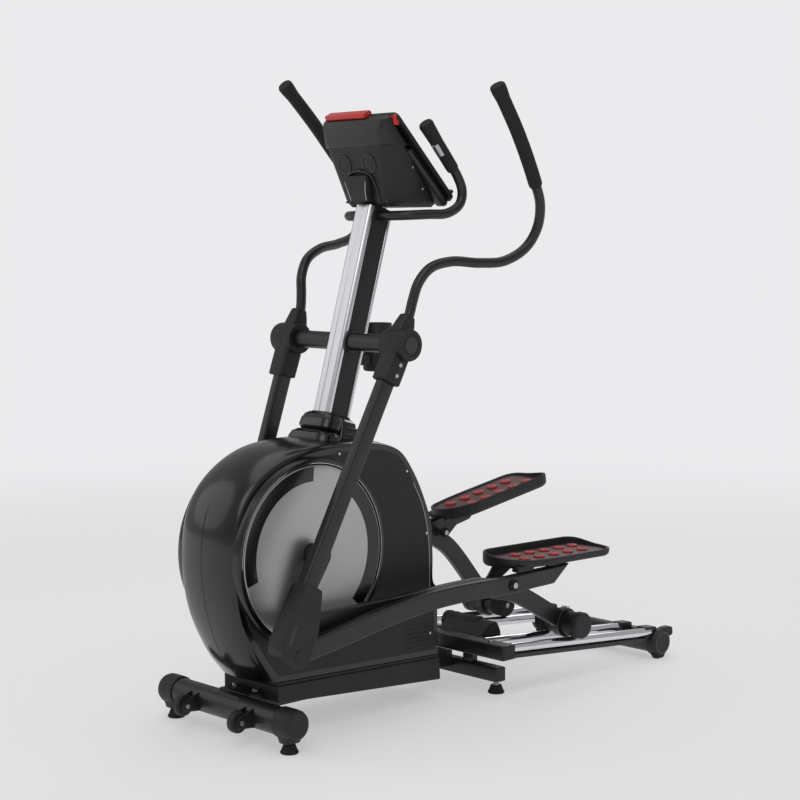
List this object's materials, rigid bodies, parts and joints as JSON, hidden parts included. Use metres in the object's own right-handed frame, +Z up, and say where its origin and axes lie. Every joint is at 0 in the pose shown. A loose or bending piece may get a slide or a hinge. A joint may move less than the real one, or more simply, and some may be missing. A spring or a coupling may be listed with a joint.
{
  "type": "elliptical trainer",
  "caption": "Front-drive elliptical trainer with swinging hand levers, link-guided pedals, rollers on chrome rails, a covered crank drive and a console on a leaning mast",
  "frame": {"origin": "on the floor under the middle of the footprint", "axes": "+Z up, -Y the way the user faces, +X the user's left"},
  "size_m": [0.774, 1.7266, 1.8358],
  "materials": {
    "black_paint": "satin powder coat",
    "matte_black": "fine grained",
    "gloss_black": "glossy",
    "rubber": "matte",
    "red_rubber": "matte",
    "red_plastic": "glossy",
    "disc_silver": "circular brushed",
    "aluminium": "satin anodised",
    "chrome": "polished",
    "zinc_steel": "zinc plated",
    "cast_iron": "turned rim"
  },
  "bodies": {
    "crank": {"crank_axle_pulley": "zinc_steel", "crank_disc_left": "disc_silver", "crank_disc_right": "disc_silver", "crank_arm_left": "black_paint", "crank_arm_right": "black_paint"},
    "flywheel": {"flywheel": "cast_iron"},
    "brake": {"brake_arm": "zinc_steel"},
    "swing_arm_left": {"swing_arm_left": "black_paint", "pivot_housing_left": "matte_black", "lever_grip_left": "rubber", "arm_shell_left": "matte_black"},
    "foot_link_left": {"foot_link_left": "black_paint", "pedal_left": "matte_black", "pedal_pad_left": "red_rubber"},
    "carriage_left": {"roller_housing_left": "matte_black"},
    "pedal_arm_left": {"pedal_arm_left": "black_paint"},
    "rollers_left": {"roller_set_left": "rubber"},
    "transport_wheel_left": {"transport_wheel_left": "matte_black"},
    "foot_front_left": {"levelling_foot_front_left": "rubber"},
    "foot_middle_left": {"levelling_foot_middle_left": "rubber"},
    "swing_arm_right": {"swing_arm_right": "black_paint", "pivot_housing_right": "matte_black", "lever_grip_right": "rubber", "arm_shell_right": "matte_black"},
    "foot_link_right": {"foot_link_right": "black_paint", "pedal_right": "matte_black", "pedal_pad_right": "red_rubber"},
    "carriage_right": {"roller_housing_right": "matte_black"},
    "pedal_arm_right": {"pedal_arm_right": "black_paint"},
    "rollers_right": {"roller_set_right": "rubber"},
    "transport_wheel_right": {"transport_wheel_right": "matte_black"},
    "foot_front_right": {"levelling_foot_front_right": "rubber"},
    "foot_middle_right": {"levelling_foot_middle_right": "rubber"},
    "frame": {"front_stabilizer": "black_paint", "front_cap_left": "matte_black", "rail_tube_outer_left": "chrome", "rail_tube_inner_left": "chrome", "shroud_left": "gloss_black", "fixed_grip_left": "rubber", "front_cap_right": "matte_black", "rail_tube_outer_right": "chrome", "rail_tube_inner_right": "chrome", "shroud_right": "gloss_black", "fixed_grip_right": "rubber", "base_frame": "black_paint", "middle_stabilizer": "black_paint", "rail_frame": "black_paint", "rear_stabilizer": "black_paint", "base_skirt": "matte_black", "mast_collar": "gloss_black", "mast_profile": "aluminium", "mast_side_cover": "matte_black", "pivot_tube": "black_paint", "fixed_handlebar": "black_paint", "console_back": "matte_black", "console_front": "gloss_black", "console_trim": "red_plastic", "console_neck": "matte_black", "bottle_holder": "matte_black", "drive_belt": "rubber"}
  },
  "joints": [
    {"name": "crank_spin", "type": "hinge", "parent": "frame", "child": "crank", "pos_m": [0, -0.57173, 0.495], "axis": [1, 0, 0], "continuous": true},
    {"name": "flywheel_spin", "type": "hinge", "parent": "frame", "child": "flywheel", "pos_m": [0, -0.26173, 0.37], "axis": [1, 0, 0], "continuous": true},
    {"name": "brake_arm_tilt", "type": "hinge", "parent": "frame", "child": "brake", "pos_m": [0, -0.36973, 0.132], "axis": [1, 0, 0], "range_deg": [0, 8]},
    {"name": "left_arm_swing", "type": "hinge", "parent": "frame", "child": "swing_arm_left", "pos_m": [0.24, -0.34173, 1.066], "axis": [1, 0, 0], "range_deg": [-8.7, 20.1]},
    {"name": "left_link_hinge", "type": "hinge", "parent": "swing_arm_left", "child": "foot_link_left", "pos_m": [0.252, -0.7457, 0.26176], "axis": [1, 0, 0], "range_deg": [-11.72, 5.18]},
    {"name": "left_roller_travel", "type": "slide", "parent": "frame", "child": "carriage_left", "axis": [0, 0.9968, -0.0797], "range_m": [-0.112, 0.2574]},
    {"name": "left_pedal_arm_hinge", "type": "hinge", "parent": "carriage_left", "child": "pedal_arm_left", "pos_m": [0.2, 0.39327, 0.17169], "axis": [1, 0, 0], "range_deg": [-7.56, 3.38]},
    {"name": "left_roller_spin", "type": "hinge", "parent": "carriage_left", "child": "rollers_left", "pos_m": [0.2, 0.39327, 0.17169], "axis": [1, 0, 0], "range_deg": [-388.66, 169.36]},
    {"name": "left_transport_wheel_spin", "type": "hinge", "parent": "frame", "child": "transport_wheel_left", "pos_m": [0.12, -0.83373, 0.072], "axis": [1, 0, 0], "continuous": true},
    {"name": "left_front_foot_height", "type": "slide", "parent": "frame", "child": "foot_front_left", "axis": [0, 0, -1], "range_m": [0, 0.01]},
    {"name": "left_middle_foot_height", "type": "slide", "parent": "frame", "child": "foot_middle_left", "axis": [0, 0, -1], "range_m": [0, 0.01]},
    {"name": "right_arm_swing", "type": "hinge", "parent": "frame", "child": "swing_arm_right", "pos_m": [-0.24, -0.34173, 1.066], "axis": [1, 0, 0], "range_deg": [-20.1, 8.7]},
    {"name": "right_link_hinge", "type": "hinge", "parent": "swing_arm_right", "child": "foot_link_right", "pos_m": [-0.252, -0.56465, 0.19405], "axis": [1, 0, 0], "range_deg": [-5.19, 11.74]},
    {"name": "right_roller_travel", "type": "slide", "parent": "frame", "child": "carriage_right", "axis": [0, 0.9968, -0.0797], "range_m": [-0.241, 0.1049]},
    {"name": "right_pedal_arm_hinge", "type": "hinge", "parent": "carriage_right", "child": "pedal_arm_right", "pos_m": [-0.2, 0.47142, 0.16544], "axis": [1, 0, 0], "range_deg": [-2.55, 5.63]},
    {"name": "right_roller_spin", "type": "hinge", "parent": "carriage_right", "child": "rollers_right", "pos_m": [-0.2, 0.47142, 0.16544], "axis": [1, 0, 0], "range_deg": [-158.6, 363.8]},
    {"name": "right_transport_wheel_spin", "type": "hinge", "parent": "frame", "child": "transport_wheel_right", "pos_m": [-0.12, -0.83373, 0.072], "axis": [1, 0, 0], "continuous": true},
    {"name": "right_front_foot_height", "type": "slide", "parent": "frame", "child": "foot_front_right", "axis": [0, 0, -1], "range_m": [0, 0.01]},
    {"name": "right_middle_foot_height", "type": "slide", "parent": "frame", "child": "foot_middle_right", "axis": [0, 0, -1], "range_m": [0, 0.01]}
  ],
  "couplings": [
    {"joint": "flywheel_spin", "follows": "crank_spin", "ratio": 7},
    {"joint": "left_link_hinge", "follows": "left_arm_swing", "ratio": -0.573},
    {"joint": "left_roller_travel", "follows": "left_arm_swing", "m_per_rad": 0.731},
    {"joint": "left_pedal_arm_hinge", "follows": "left_arm_swing", "ratio": -0.366},
    {"joint": "left_roller_spin", "follows": "left_arm_swing", "ratio": -19.237},
    {"joint": "right_arm_swing", "follows": "left_arm_swing", "ratio": -1},
    {"joint": "right_link_hinge", "follows": "left_arm_swing", "ratio": 0.574},
    {"joint": "right_roller_travel", "follows": "left_arm_swing", "m_per_rad": -0.684},
    {"joint": "right_pedal_arm_hinge", "follows": "left_arm_swing", "ratio": 0.27},
    {"joint": "right_roller_spin", "follows": "left_arm_swing", "ratio": 18}
  ]
}
